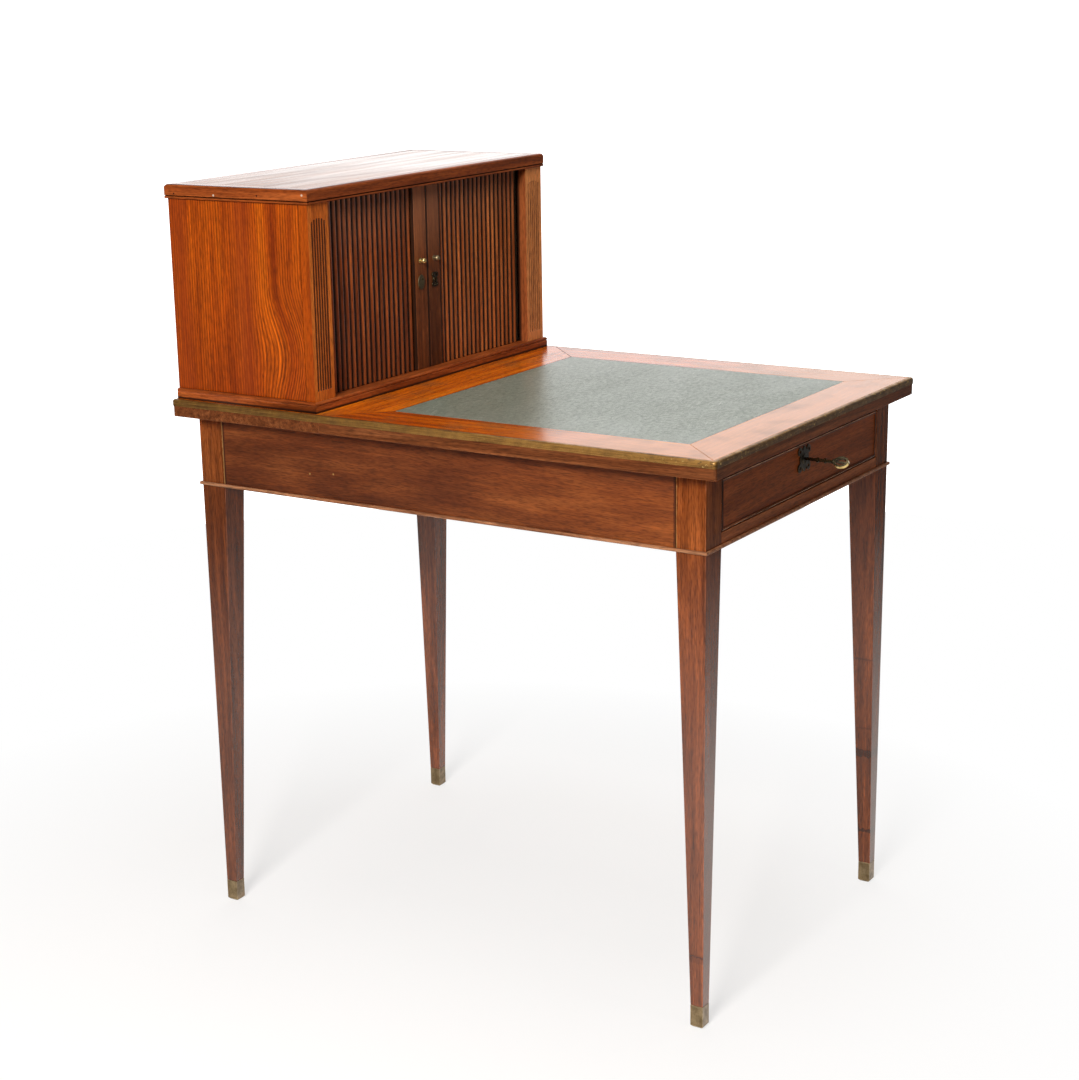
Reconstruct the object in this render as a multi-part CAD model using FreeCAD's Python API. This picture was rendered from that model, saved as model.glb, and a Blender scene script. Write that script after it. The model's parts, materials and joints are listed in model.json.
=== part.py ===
import FreeCAD, Part
import math
import os

# A writing table with a tambour-front hutch standing on the back of its top.
# Lengths are millimetres: X along the front, Y from front to back, Z up from the floor.

# Table top: a mitred border round a core, a leather skin on the core, brass let into the edge
top_width = 606.0
top_depth = 848.0
table_height = 760.0
top_thickness = 24.0
border_width = 74.0
leather_depth = 444.0
leather_thickness = 1.5
core_tongue = 8.0
core_tongue_height = 9.0
brass_height = 9.0
brass_depth = 6.0
brass_projection = 1.0
brass_round = 3.5
corner_round = 5.0

# Underframe: four post-and-leg pieces, three aprons, two front rails, a bead round the foot of it
top_overhang = 26.0
post_size = 41.5
apron_height = 100.0
apron_thickness = 20.0
lower_rail_height = 19.0
upper_rail_height = 13.0
tenon_thickness = 8.0
tenon_setback = 6.0
tenon_web = 4.0
tenon_shoulder = 12.0
rail_tenon_shoulder = 3.0
bead_height = 4.5
bead_projection = 2.8
bead_round = 1.2
foot_size = 18.0
foot_inset = 1.0
sabot_height = 31.0
sabot_wall = 1.2
sabot_floor = 3.0
sabot_bevel = 2.5
glue_block_size = 22.0
glue_block_length = 70.0
glue_block_shares = (-0.7, 0.0, 0.7)

# What the drawer runs on
runner_width = 20.0
runner_height = 15.0
guide_height = 40.0
stop_length = 30.0
stop_depth = 12.0
stop_height = 5.0
stop_place_share = 0.6

# Drawer
drawer_depth = 520.0
drawer_gap = 1.8
drawer_recess = 1.4
drawer_front_thickness = 20.0
drawer_side_thickness = 10.0
drawer_side_drop = 8.0
drawer_side_lap = 8.0
drawer_back_thickness = 10.0
drawer_bottom_thickness = 6.0
drawer_bottom_lift = 8.0
drawer_groove = 4.0
cock_bead_thickness = 2.6
cock_bead_depth = 8.0
cock_bead_projection = 1.2
cock_bead_round = 1.0

# Drawer lock, its plate and its key
lock_width = 50.0
lock_depth = 8.0
lock_wall = 1.2
bolt_width = 26.0
bolt_thickness = 2.6
bolt_throw = 7.0
bit_clearance = 1.5
key_length = 63.4
key_shank_radius = 2.2
key_collar_radius = 3.4
key_collar_width = 2.4
key_collar_shares = (0.34, 0.5)
key_ball_radius = 3.2
key_bow_length = 21.0
key_bow_width = 17.0
key_bow_ring = 2.8
key_bow_thickness = 4.0
key_bow_bar = 2.2
key_tilt_degrees = 40.0
key_bit_radius = 6.5
key_bit_thickness = 2.0
plate_thickness = 1.6
plate_width = 37.0
plate_height = 34.0
plate_top_gap = 0.8
plate_lobe_share = 0.17
plate_finial_share = 0.13
plate_middle_share = 0.38
plate_boss_share = 0.2
plate_boss_rise = 0.8
plate_pierce_share = 0.07

# Hutch carcase
hutch_side_inset = 13.5
hutch_back_inset = 4.3
hutch_depth = 239.0
hutch_height = 262.0
base_height = 14.5
base_projection = 4.5
base_moulding_width = 20.0
base_round = 2.5
base_bead_height = 4.0
lid_thickness = 19.3
lid_projection = 3.2
lid_edging_width = 18.0
lid_round = 5.0
lid_bead_height = 3.2
quirk = 0.9
panel_thickness = 14.0
hutch_back_thickness = 10.0
pilaster_width = 44.5
pilaster_thickness = 14.0
flute_count = 6
flute_pitch = 5.4
flute_radius = 1.7
flute_foot_margin = 15.0
flute_head_margin = 21.0
flute_arch_rise = 8.0
liner_thickness = 10.0
shelf_thickness = 8.0
shelf_depth = 88.0
shelf_height = 130.0
shelf_housing = 3.0

# Tambour doors: a lead stile, half-round slats on canvas in two leaves, and a round tail rod
lead_width = 34.0
lead_thickness = 8.0
lead_joint_gap = 0.4
lead_bead_width = 3.2
lead_groove_radius = 0.7
inner_slat_count = 10
outer_slat_count = 9
bare_slat_count = 1
slat_thickness = 6.0
slat_edge = 1.0
slat_gap = 0.6
slat_cover = 6.0
slat_clearance = 1.0
lap_depth = 3.4
lap_length = 5.9
canvas_thickness = 0.8
tail_radius = 3.0
tail_gap = 0.6
track_width = 5.0
track_depth = 6.0
track_wall_gap = 8.0
track_radius = 20.0
knob_drop = 106.5
knob_ball_radius = 4.0
knob_stem_radius = 1.8
knob_stem_length = 3.6
small_plate_drop = 137.0
small_plate_thickness = 1.2
oval_plate_width = 15.0
oval_plate_height = 21.0
keyhole_radius = 2.6
keyhole_slot = 2.4
keyhole_drop = 8.0

# Clearances, and how far a cutting shape runs past what it cuts
run_clearance = 0.3
overrun = 1.0

# Places worked out from the sizes above
half_width = top_width / 2
half_depth = top_depth / 2
apron_top = table_height - top_thickness
apron_bottom = apron_top - apron_height
frame_x = half_width - top_overhang
frame_y = half_depth - top_overhang
inner_x = frame_x - post_size
inner_y = frame_y - post_size
tenon_length = post_size - tenon_setback - tenon_thickness - tenon_web
opening_bottom = apron_bottom + lower_rail_height
opening_top = apron_top - upper_rail_height
leather_x = half_width - border_width
leather_front = border_width - half_depth
leather_back = leather_front + leather_depth

front_x = inner_x - drawer_gap
front_face = drawer_recess - frame_y
front_back = front_face + drawer_front_thickness
front_bottom = opening_bottom + drawer_gap
front_top = opening_top - drawer_gap
drawer_end = front_face + drawer_depth
side_bottom = opening_bottom + run_clearance
side_top = front_top - drawer_side_drop
panel_bottom = side_bottom + drawer_bottom_lift
panel_top = panel_bottom + drawer_bottom_thickness
key_height = front_top - cock_bead_thickness - plate_top_gap - plate_height / 2
lock_bottom = key_height - key_bit_radius - bit_clearance - lock_wall
lock_front = front_back - lock_depth
bolt_middle = (lock_front + front_back) / 2

base_top = table_height + base_height
lid_bottom = base_top + hutch_height
lid_top = lid_bottom + lid_thickness
body_x = half_width - hutch_side_inset
body_back = half_depth - hutch_back_inset
body_front = body_back - hutch_depth
wall_x = body_x - panel_thickness
wall_back = body_back - hutch_back_thickness
half_opening = body_x - pilaster_width

canvas_plane = body_front + pilaster_thickness + slat_clearance + slat_thickness
track_plane = canvas_plane - slat_thickness / 2
lead_face = canvas_plane - lead_thickness
slat_start = lead_width + run_clearance
slat_end = half_opening + slat_cover
slat_pitch = (slat_end - slat_start) / (inner_slat_count + outer_slat_count)
leaf_split = slat_start + inner_slat_count * slat_pitch
tail_x = slat_end + tail_gap + tail_radius
slat_bottom = base_top + run_clearance
slat_top = lid_bottom - run_clearance

# The origin lies on the floor under the middle of the whole depth, from the key's bow to the back edge
depth_middle = (front_face - key_length + half_depth) / 2

Vector = FreeCAD.Vector
up = Vector(0, 0, 1)
back = Vector(0, 1, 0)
right = Vector(1, 0, 0)


def box(x0, x1, y0, y1, z0, z1):
    return Part.makeBox(x1 - x0, y1 - y0, z1 - z0, Vector(x0, y0, z0))


def prism(points, direction):
    corners = [Vector(*point) for point in points]
    return Part.Face(Part.makePolygon(corners + corners[:1])).extrude(direction)


def plan_prism(points, z0, z1):
    return prism([(x, y, z0) for x, y in points], up * (z1 - z0))


def mirrored(shape):
    return shape.mirror(Vector(0, 0, 0), right)


def join(first, *others):
    return first.fuse(list(others)).removeSplitter()


def rounded(solid, radius, chosen):
    """Fillet the straight edges whose two ends both pass the test."""
    edges = [e for e in solid.Edges if all(chosen(v.Point) for v in e.Vertexes)]
    return solid.makeFillet(radius, edges)


def near(a, b):
    return abs(a - b) < Part.Precision.approximation()


def save(name, *solids):
    shape = solids[0] if len(solids) == 1 else Part.makeCompound(list(solids))
    shape = shape.copy()
    shape.translate(back * -depth_middle)
    shape.exportStep(os.path.join("parts", name + ".step"))


def rim(outer, inner):
    """The four mitred sides of a rectangular frame, as outlines of four points."""
    (ox0, ox1, oy0, oy1), (ix0, ix1, iy0, iy1) = outer, inner
    o = [(ox0, oy0), (ox1, oy0), (ox1, oy1), (ox0, oy1)]
    i = [(ix0, iy0), (ix1, iy0), (ix1, iy1), (ix0, iy1)]
    return [[o[k], o[(k + 1) % 4], i[(k + 1) % 4], i[k]] for k in range(4)]


def edge_strips(outlines, z0, z1, radius, levels):
    """Strips along the outlines, with the outer edge rounded at the given heights."""
    strips = []
    for outline in outlines:
        ends = outline[:2]

        def outer(p):
            return any(near(p.x, x) and near(p.y, y) for x, y in ends)

        strip = plan_prism(outline, z0, z1)
        for level in levels:
            strip = rounded(strip, radius, lambda p: outer(p) and near(p.z, level))
        strips.append(strip)
    return strips


# Table top

brass_bottom = table_height - brass_height
outer_rectangle = (-half_width, half_width, -half_depth, half_depth)
brass_rectangle = (
    brass_depth - half_width,
    half_width - brass_depth,
    brass_depth - half_depth,
    half_depth - brass_depth,
)


def rounded_slab(inset, z0, z1):
    """A slab as large as the top less the inset, with its four upright corners rounded."""
    x = half_width - inset
    y = half_depth - inset
    slab = box(-x, x, -y, y, z0, z1)
    upright = [e for e in slab.Edges if near(abs(e.tangentAt(e.FirstParameter).z), 1)]
    return slab.makeFillet(corner_round - inset, upright)


def brass_strips():
    """A rounded band let into the edge of the top, cut at the mitres into four strips."""
    slab = rounded_slab(0, brass_bottom, table_height)
    upper = [e for e in slab.Edges if all(near(v.Z, table_height) for v in e.Vertexes)]
    slab = slab.makeFillet(brass_round, upper)
    band = slab.cut(box(*brass_rectangle, brass_bottom, table_height))
    outlines = rim(outer_rectangle, brass_rectangle)
    return [band.common(plan_prism(outline, brass_bottom, table_height)) for outline in outlines]


def core():
    z0 = apron_top
    z1 = table_height - leather_thickness
    tongue_z = (z0 + z1 - core_tongue_height) / 2
    panel = box(-leather_x, leather_x, leather_front, leather_back, z0, z1)
    tongue = box(
        -leather_x - core_tongue,
        leather_x + core_tongue,
        leather_front - core_tongue,
        leather_back + core_tongue,
        tongue_z,
        tongue_z + core_tongue_height,
    )
    return join(panel, tongue)


def border(points, core_solid):
    board = plan_prism(points, apron_top, table_height)
    board = board.common(rounded_slab(brass_projection, apron_top, table_height))
    rebate = box(*outer_rectangle, brass_bottom, table_height)
    rebate = rebate.cut(box(*brass_rectangle, brass_bottom, table_height))
    return board.cut(core_solid).cut(rebate)


def make_top():
    mitre_back = leather_back + border_width
    core_solid = core()
    save("top_core", core_solid)
    save("writing_leather", box(-leather_x, leather_x, leather_front, leather_back,
                                table_height - leather_thickness, table_height))
    front = [(-half_width, -half_depth), (half_width, -half_depth),
             (leather_x, leather_front), (-leather_x, leather_front)]
    left = [(-half_width, -half_depth), (-leather_x, leather_front),
            (-leather_x, leather_back), (-half_width, mitre_back)]
    rear = [(-leather_x, leather_back), (leather_x, leather_back), (half_width, mitre_back),
            (half_width, half_depth), (-half_width, half_depth), (-half_width, mitre_back)]
    left_board = border(left, core_solid)
    save("top_border_front", border(front, core_solid))
    save("top_border_left", left_board)
    save("top_border_right", mirrored(left_board))
    save("top_back_board", border(rear, core_solid))
    save("brass_edging", *brass_strips())


# Underframe: the posts' outer corners stand at frame_x and frame_y

tenon_inner = tenon_setback + tenon_thickness


def side_apron():
    plank = box(-frame_x, apron_thickness - frame_x, -inner_y, inner_y, apron_bottom, apron_top)
    tenon = box(tenon_setback - frame_x, tenon_inner - frame_x, -inner_y - tenon_length,
                inner_y + tenon_length, apron_bottom + tenon_shoulder, apron_top - tenon_shoulder)
    return join(plank, tenon)


def back_apron():
    plank = box(-inner_x, inner_x, frame_y - apron_thickness, frame_y, apron_bottom, apron_top)
    tenon = box(-inner_x - tenon_length, inner_x + tenon_length, frame_y - tenon_inner,
                frame_y - tenon_setback, apron_bottom + tenon_shoulder, apron_top - tenon_shoulder)
    return join(plank, tenon)


def front_rail(z0, z1):
    plank = box(-inner_x, inner_x, -frame_y, -inner_y, z0, z1)
    tenon = box(-inner_x - tenon_length, inner_x + tenon_length, tenon_setback - frame_y,
                tenon_inner - frame_y, z0 + rail_tenon_shoulder, z1 - rail_tenon_shoulder)
    return join(plank, tenon)


def tapered(z0, low, z1, high):
    """A closed block between two level rectangles, each given as x0, x1, y0, y1."""
    def corners(sides, z):
        x0, x1, y0, y1 = sides
        return [Vector(x0, y0, z), Vector(x1, y0, z), Vector(x1, y1, z), Vector(x0, y1, z)]

    a = corners(low, z0)
    b = corners(high, z1)
    rings = [a, b] + [[a[k], a[(k + 1) % 4], b[(k + 1) % 4], b[k]] for k in range(4)]
    faces = [Part.Face(Part.makePolygon(ring + ring[:1])) for ring in rings]
    solid = Part.Solid(Part.makeShell(faces))
    if solid.Volume < 0:
        solid.reverse()
    return solid


def foot_sides(margin):
    """The rectangle of the leg's end in the front-left corner, grown by the margin."""
    x0 = foot_inset - frame_x
    y0 = foot_inset - frame_y
    return (x0 - margin, x0 + foot_size + margin, y0 - margin, y0 + foot_size + margin)


def front_left_leg():
    post_sides = (-frame_x, -inner_x, -frame_y, -inner_y)
    post = box(*post_sides, apron_bottom, apron_top)
    leg = tapered(sabot_height, foot_sides(0), apron_bottom, post_sides)
    end = box(*foot_sides(-sabot_wall), sabot_floor, sabot_height)
    return join(post, leg, end)


def front_left_sabot():
    cup = tapered(sabot_bevel, foot_sides(0), sabot_height, foot_sides(0))
    sole = tapered(0, foot_sides(-sabot_bevel), sabot_bevel, foot_sides(0))
    return join(cup, sole).cut(box(*foot_sides(-sabot_wall), sabot_floor, sabot_height))


def to_back(shape):
    return shape.mirror(Vector(0, 0, 0), back)


def make_underframe():
    left_apron = side_apron()
    rear_apron = back_apron()
    lower = front_rail(apron_bottom, opening_bottom)
    upper = front_rail(opening_top, apron_top)
    blank = front_left_leg()
    front_leg = blank.cut([left_apron, lower, upper])
    back_leg = to_back(blank).cut([left_apron, rear_apron])
    sabot = front_left_sabot()
    save("leg_front_left", front_leg)
    save("leg_front_right", mirrored(front_leg))
    save("leg_back_left", back_leg)
    save("leg_back_right", mirrored(back_leg))
    save("sabot_front_left", sabot)
    save("sabot_front_right", mirrored(sabot))
    save("sabot_back_left", to_back(sabot))
    save("sabot_back_right", mirrored(to_back(sabot)))
    save("apron_left", left_apron)
    save("apron_right", mirrored(left_apron))
    save("apron_back", rear_apron)
    save("front_rail_lower", lower)
    strike_x = bolt_width / 2 + run_clearance
    strike_y = bolt_thickness / 2 + run_clearance
    strike = box(-strike_x, strike_x, bolt_middle - strike_y, bolt_middle + strike_y,
                 opening_top, opening_top + bolt_throw)
    save("front_rail_upper", upper.cut(strike))
    frame_rectangle = (-frame_x, frame_x, -frame_y, frame_y)
    reach_x = frame_x + bead_projection
    reach_y = frame_y + bead_projection
    bead_rectangle = (-reach_x, reach_x, -reach_y, reach_y)
    bead_top = apron_bottom + bead_height
    save("apron_beads", *edge_strips(rim(bead_rectangle, frame_rectangle), apron_bottom, bead_top,
                                     bead_round, [apron_bottom, bead_top]))
    block_back = frame_y - apron_thickness
    blocks = [
        box(place * inner_x - glue_block_length / 2, place * inner_x + glue_block_length / 2,
            block_back - glue_block_size, block_back, apron_top - glue_block_size, apron_top)
        for place in glue_block_shares
    ]
    save("top_glue_blocks", *blocks)


# Runners, kickers and stops that carry and steer the drawer

def make_drawer_bearers():
    apron_x = frame_x - apron_thickness
    bearing_x = inner_x - runner_width
    runner = box(bearing_x, apron_x, -inner_y, inner_y, opening_bottom - runner_height, opening_bottom)
    guide = box(inner_x, apron_x, -inner_y, inner_y, opening_bottom, opening_bottom + guide_height)
    runner = join(runner, guide)
    kicker = box(bearing_x, apron_x, -inner_y, inner_y, opening_top, apron_top)
    save("drawer_runners", runner, mirrored(runner))
    save("drawer_kickers", kicker, mirrored(kicker))
    stop_x = stop_place_share * inner_x
    stop_front = front_back + run_clearance
    stop = box(stop_x - stop_length / 2, stop_x + stop_length / 2, stop_front,
               stop_front + stop_depth, opening_bottom, opening_bottom + stop_height)
    save("drawer_stops", stop, mirrored(stop))


# Drawer box

def side_board():
    return box(-front_x, drawer_side_thickness - front_x, front_back - drawer_side_lap, drawer_end,
               side_bottom, side_top)


def bottom_panel():
    reach = front_x - drawer_side_thickness + drawer_groove
    return box(-reach, reach, front_back - drawer_groove, drawer_end, panel_bottom, panel_top)


def front_rim():
    """Outlines, as x and z, of the four cock-bead strips round the drawer front."""
    outer = (-front_x, front_x, front_bottom, front_top)
    inner = (
        cock_bead_thickness - front_x,
        front_x - cock_bead_thickness,
        front_bottom + cock_bead_thickness,
        front_top - cock_bead_thickness,
    )
    return rim(outer, inner)


def cock_beads():
    nose = front_face - cock_bead_projection
    depth = cock_bead_projection + cock_bead_depth
    strips = []
    for outline in front_rim():
        strip = prism([(x, nose, z) for x, z in outline], back * depth)
        strips.append(rounded(strip, cock_bead_round, lambda p: near(p.y, nose)
                              and any(near(p.x, x) and near(p.z, z) for x, z in outline[:2])))
    return strips


def keyhole(y0, y1):
    eye = Part.makeCylinder(keyhole_radius, y1 - y0, Vector(0, y0, key_height), back)
    slot = box(-keyhole_slot / 2, keyhole_slot / 2, y0, y1, key_height - keyhole_drop, key_height)
    return join(eye, slot)


def lock_box(margin):
    half = lock_width / 2 - margin
    return box(-half, half, lock_front + margin, front_back - margin,
               lock_bottom + margin, front_top - margin)


def bolt(margin, z0, z1):
    x = bolt_width / 2 + margin
    y = bolt_thickness / 2 + margin
    return box(-x, x, bolt_middle - y, bolt_middle + y, z0, z1)


def make_drawer():
    left_side = side_board()
    panel = bottom_panel()
    right_side = mirrored(left_side)
    front = box(-front_x, front_x, front_face, front_back, front_bottom, front_top)
    rebates = [prism([(x, front_face, z) for x, z in outline], back * cock_bead_depth)
               for outline in front_rim()]
    front = front.cut(rebates + [left_side, right_side, panel, lock_box(0)])
    front = front.cut(keyhole(front_face - overrun, lock_front + overrun))
    save("drawer_front", front)
    save("drawer_cock_beads", *cock_beads())
    left_side = left_side.cut(panel)
    save("drawer_side_left", left_side)
    save("drawer_side_right", mirrored(left_side))
    save("drawer_bottom", panel)
    back_x = front_x - drawer_side_thickness
    save("drawer_back", box(-back_x, back_x, drawer_end - drawer_back_thickness, drawer_end,
                            panel_top, side_top))
    case = lock_box(0).cut(lock_box(lock_wall))
    case = case.cut(bolt(run_clearance, front_top - lock_wall - overrun, front_top + overrun))
    case = case.cut(keyhole(lock_front - overrun, lock_front + lock_wall + overrun))
    save("drawer_lock_case", case)
    bolt_foot = key_height + key_bit_radius + run_clearance
    save("drawer_lock_bolt", bolt(0, bolt_foot, front_top - run_clearance))
    save("drawer_escutcheon", escutcheon(plate_width, plate_height, plate_thickness,
                                         front_face, key_height))
    save("drawer_key", key())


def disc(x, z, radius, y0, thickness):
    return Part.makeCylinder(radius, thickness, Vector(x, y0, z), back)


def escutcheon(width, height, thickness, face, eye_height):
    """A pierced plate standing on the face: a round middle with a boss, four lobes and two finials.

    A keyhole goes through it.
    """
    y0 = face - thickness
    middle = plate_middle_share * min(width, height)
    boss = plate_boss_share * min(width, height)
    lobe = plate_lobe_share * height
    finial = plate_finial_share * height
    side = width / 2 - lobe
    rise = height / 2 - lobe
    lobe_places = ((side, rise), (-side, rise), (side, -rise), (-side, -rise))
    lobes = [disc(x, eye_height + z, lobe, y0, thickness) for x, z in lobe_places]
    finials = [disc(0, eye_height + z, finial, y0, thickness)
               for z in (height / 2 - finial, finial - height / 2)]
    plate = join(disc(0, eye_height, middle, y0, thickness),
                 disc(0, eye_height, boss, y0 - plate_boss_rise, thickness + plate_boss_rise),
                 *lobes, *finials)
    hole = plate_pierce_share * height
    front = y0 - plate_boss_rise - overrun
    pierced = [disc(x, eye_height + z, hole, front, face + overrun - front) for x, z in lobe_places]
    eye = keyhole(front, face + overrun)
    eye.translate(up * (eye_height - key_height))
    return plate.cut(pierced + [eye])


def oval_plate(place, length, width, thickness):
    """A flat oval plate in the plane of X and Y, as long as given along Y, centred at the place on Y."""
    major = max(length, width) / 2
    minor = min(length, width) / 2
    curve = Part.Ellipse(Vector(0, 0, 0), major, minor).toShape()
    face = Part.Face(Part.Wire([curve]))
    plate = face.extrude(up * thickness)
    plate.translate(up * (-thickness / 2))
    if length >= width:
        plate.rotate(Vector(0, 0, 0), up, 90)
    plate.translate(back * place)
    return plate


def key():
    """The key points along -Y out of the lock; it is made about the Y axis, then tilted and raised."""
    bow_middle = front_face - key_length + key_bow_length / 2
    bow_start = front_face - key_length + key_bow_length
    tip = front_back - lock_wall - run_clearance
    shank = Part.makeCylinder(key_shank_radius, tip - bow_start + key_bow_ring,
                              Vector(0, bow_start - key_bow_ring, 0), back)
    collars = [
        Part.makeCylinder(key_collar_radius, key_collar_width,
                          Vector(0, front_face - share * key_length, 0), back)
        for share in key_collar_shares
    ]
    ball = Part.makeSphere(key_ball_radius, Vector(0, bow_start, 0))
    ring = oval_plate(bow_middle, key_bow_length, key_bow_width, key_bow_thickness)
    hole = oval_plate(bow_middle, key_bow_length - 2 * key_bow_ring,
                      key_bow_width - 2 * key_bow_ring, key_bow_thickness + 2 * overrun)
    inner = key_bow_length / 2 - key_bow_ring / 2
    bar = box(-key_bow_bar / 2, key_bow_bar / 2, bow_middle - inner, bow_middle + inner,
              -key_bow_bar / 2, key_bow_bar / 2)
    bit_front = lock_front + lock_wall + run_clearance
    bit = box(0, key_bit_radius, bit_front, tip, -key_bit_thickness / 2, key_bit_thickness / 2)
    solid = join(shank, ring.cut(hole), bar, ball, bit, *collars)
    solid.rotate(Vector(0, 0, 0), back, -key_tilt_degrees)
    solid.translate(up * key_height)
    return solid


# Hutch carcase

def moulded_board(projection, strip_width, z0, z1, radius, line_height, closed):
    """A board with strips mitred round its front and sides, and its back if closed: board, strips.

    The strips have a rounded upper edge and a fine groove all along at the height of the line.
    """
    x = body_x + projection
    y = body_front - projection
    rear = body_back + projection if closed else body_back
    ix = x - strip_width
    iy = y + strip_width
    board_rear = rear - strip_width if closed else rear
    groove_rear = rear - quirk if closed else rear
    front, right_side, behind, left_side = rim((-x, x, y, rear), (-ix, ix, iy, board_rear))
    outlines = [front, left_side, right_side] + ([behind] if closed else [])
    groove = box(-x, x, y, rear, line_height, line_height + quirk)
    groove = groove.cut(box(quirk - x, x - quirk, y + quirk, groove_rear, line_height, line_height + quirk))
    strips = [strip.cut(groove) for strip in edge_strips(outlines, z0, z1, radius, [z1])]
    return box(-ix, ix, iy, board_rear, z0, z1), strips


def track(z0, z1):
    """The groove that the tambours run in: along the front, round two corners and down both sides."""
    half = track_width / 2
    side = wall_x - track_wall_gap
    end = wall_back - track_wall_gap

    def offset_line(shift):
        """The groove's middle line moved outwards by the shift, from the left end to the right."""
        x = side + shift
        y = track_plane - shift
        r = track_radius + shift
        bend = r * (1 - math.sqrt(0.5))
        return [Vector(-x, end, z0), Vector(-x, y + r, z0), Vector(-x + bend, y + bend, z0),
                Vector(-x + r, y, z0), Vector(x - r, y, z0), Vector(x - bend, y + bend, z0),
                Vector(x, y + r, z0), Vector(x, end, z0)]

    def edges(p):
        parts = [Part.LineSegment(p[0], p[1]), Part.Arc(p[1], p[2], p[3]),
                 Part.LineSegment(p[3], p[4]), Part.Arc(p[4], p[5], p[6]),
                 Part.LineSegment(p[6], p[7])]
        return [part.toShape() for part in parts]

    outside = offset_line(half)
    inside = offset_line(-half)
    closing = [Part.LineSegment(outside[-1], inside[-1]).toShape(),
               Part.LineSegment(inside[0], outside[0]).toShape()]
    loop = Part.Wire(Part.__sortEdges__(edges(outside) + edges(inside) + closing))
    return Part.Face(loop).extrude(up * (z1 - z0))


def pilaster():
    """A stile with half-round flutes in its face, their upper ends on the line of an arch."""
    stile = box(-body_x, pilaster_width - body_x, body_front, body_front + pilaster_thickness,
                base_top, lid_bottom)
    middle = pilaster_width / 2 - body_x
    half = flute_count * flute_pitch / 2
    foot = base_top + flute_foot_margin
    crown = lid_bottom - flute_head_margin
    flutes = []
    for k in range(flute_count):
        offset = (k + 0.5) * flute_pitch - half
        head = crown - flute_arch_rise * (1 - math.sqrt(1 - (offset / half) ** 2))
        x = middle + offset
        rod = Part.makeCylinder(flute_radius, head - foot, Vector(x, body_front, foot), up)
        ends = [Part.makeSphere(flute_radius, Vector(x, body_front, z)) for z in (foot, head)]
        flutes.append(join(rod, *ends))
    return stile.cut(flutes)


def make_hutch():
    base, base_strips = moulded_board(base_projection, base_moulding_width, table_height, base_top,
                                      base_round, base_top - base_bead_height - quirk, False)
    lid, lid_strips = moulded_board(lid_projection, lid_edging_width, lid_bottom, lid_top,
                                    lid_round, lid_bottom + lid_bead_height, True)
    save("hutch_base_board", base.cut(track(base_top - track_depth, base_top)))
    save("hutch_base_mouldings", *base_strips)
    save("hutch_lid_board", lid.cut(track(lid_bottom, lid_bottom + track_depth)))
    save("hutch_lid_edging", *lid_strips)
    side = box(-body_x, -wall_x, body_front + pilaster_thickness, body_back, base_top, lid_bottom)
    save("hutch_side_left", side)
    save("hutch_side_right", mirrored(side))
    save("hutch_back", box(-wall_x, wall_x, wall_back, body_back, base_top, lid_bottom))
    stile = pilaster()
    save("hutch_pilaster_left", stile)
    save("hutch_pilaster_right", mirrored(stile))
    shelf_x = half_opening - liner_thickness + shelf_housing
    shelf_z = base_top + shelf_height
    shelf = box(-shelf_x, shelf_x, wall_back - shelf_depth, wall_back, shelf_z, shelf_z + shelf_thickness)
    liner = box(-half_opening, liner_thickness - half_opening, wall_back - shelf_depth, wall_back,
                base_top, lid_bottom).cut(shelf)
    save("hutch_shelf", shelf)
    save("hutch_liner_left", liner)
    save("hutch_liner_right", mirrored(liner))


# Tambour doors: made for the right-hand door, mirrored for the left

def slat(x0, x1):
    front = canvas_plane - slat_edge
    points = [Vector(x0, canvas_plane, slat_bottom), Vector(x0, front, slat_bottom),
              Vector((x0 + x1) / 2, canvas_plane - slat_thickness, slat_bottom),
              Vector(x1, front, slat_bottom), Vector(x1, canvas_plane, slat_bottom)]
    outline = [Part.LineSegment(points[0], points[1]), Part.Arc(points[1], points[2], points[3]),
               Part.LineSegment(points[3], points[4]), Part.LineSegment(points[4], points[0])]
    wire = Part.Wire([part.toShape() for part in outline])
    return Part.Face(wire).extrude(up * (slat_top - slat_bottom))


def curtain(start, count, bare):
    """One leaf of a door: slats side by side, glued to canvas whose outer end is bare."""
    margin = slat_gap / 2
    slats = [slat(start + k * slat_pitch + margin, start + (k + 1) * slat_pitch - margin)
             for k in range(count - bare)]
    canvas = box(start + margin, start + count * slat_pitch - margin, canvas_plane,
                 canvas_plane + canvas_thickness, slat_bottom, slat_top)
    return slats + [canvas]


def lap():
    """The wedge off the back of the outer leaf's first slat, which lets the inner leaf pass behind it."""
    edge = leaf_split + slat_gap / 2
    behind = canvas_plane + canvas_thickness
    corners = [(edge, canvas_plane - lap_depth), (edge + lap_length, behind), (edge, behind)]
    return plan_prism(corners, slat_bottom, slat_top)


def lead():
    stile = box(lead_joint_gap / 2, lead_width, lead_face, canvas_plane, slat_bottom, slat_top)
    half = track_width / 2 - run_clearance
    tongue = box(lead_joint_gap / 2, lead_width, track_plane - half, track_plane + half,
                 base_top - track_depth + run_clearance, lid_bottom + track_depth - run_clearance)
    grooves = [
        Part.makeCylinder(lead_groove_radius, slat_top - slat_bottom, Vector(x, lead_face, slat_bottom), up)
        for x in (lead_joint_gap / 2 + lead_bead_width, lead_width - lead_bead_width)
    ]
    return join(stile, tongue).cut(grooves)


def knob():
    middle = lead_width / 2
    height = lid_bottom - knob_drop
    stem = Part.makeCylinder(knob_stem_radius, knob_stem_length, Vector(middle, lead_face, height), -back)
    reach = knob_stem_length + knob_ball_radius / 2
    ball = Part.makeSphere(knob_ball_radius, Vector(middle, lead_face - reach, height))
    rose = Part.makeCone(knob_ball_radius, knob_stem_radius, knob_stem_radius,
                         Vector(middle, lead_face, height), -back)
    return join(stem, ball, rose)


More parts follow.
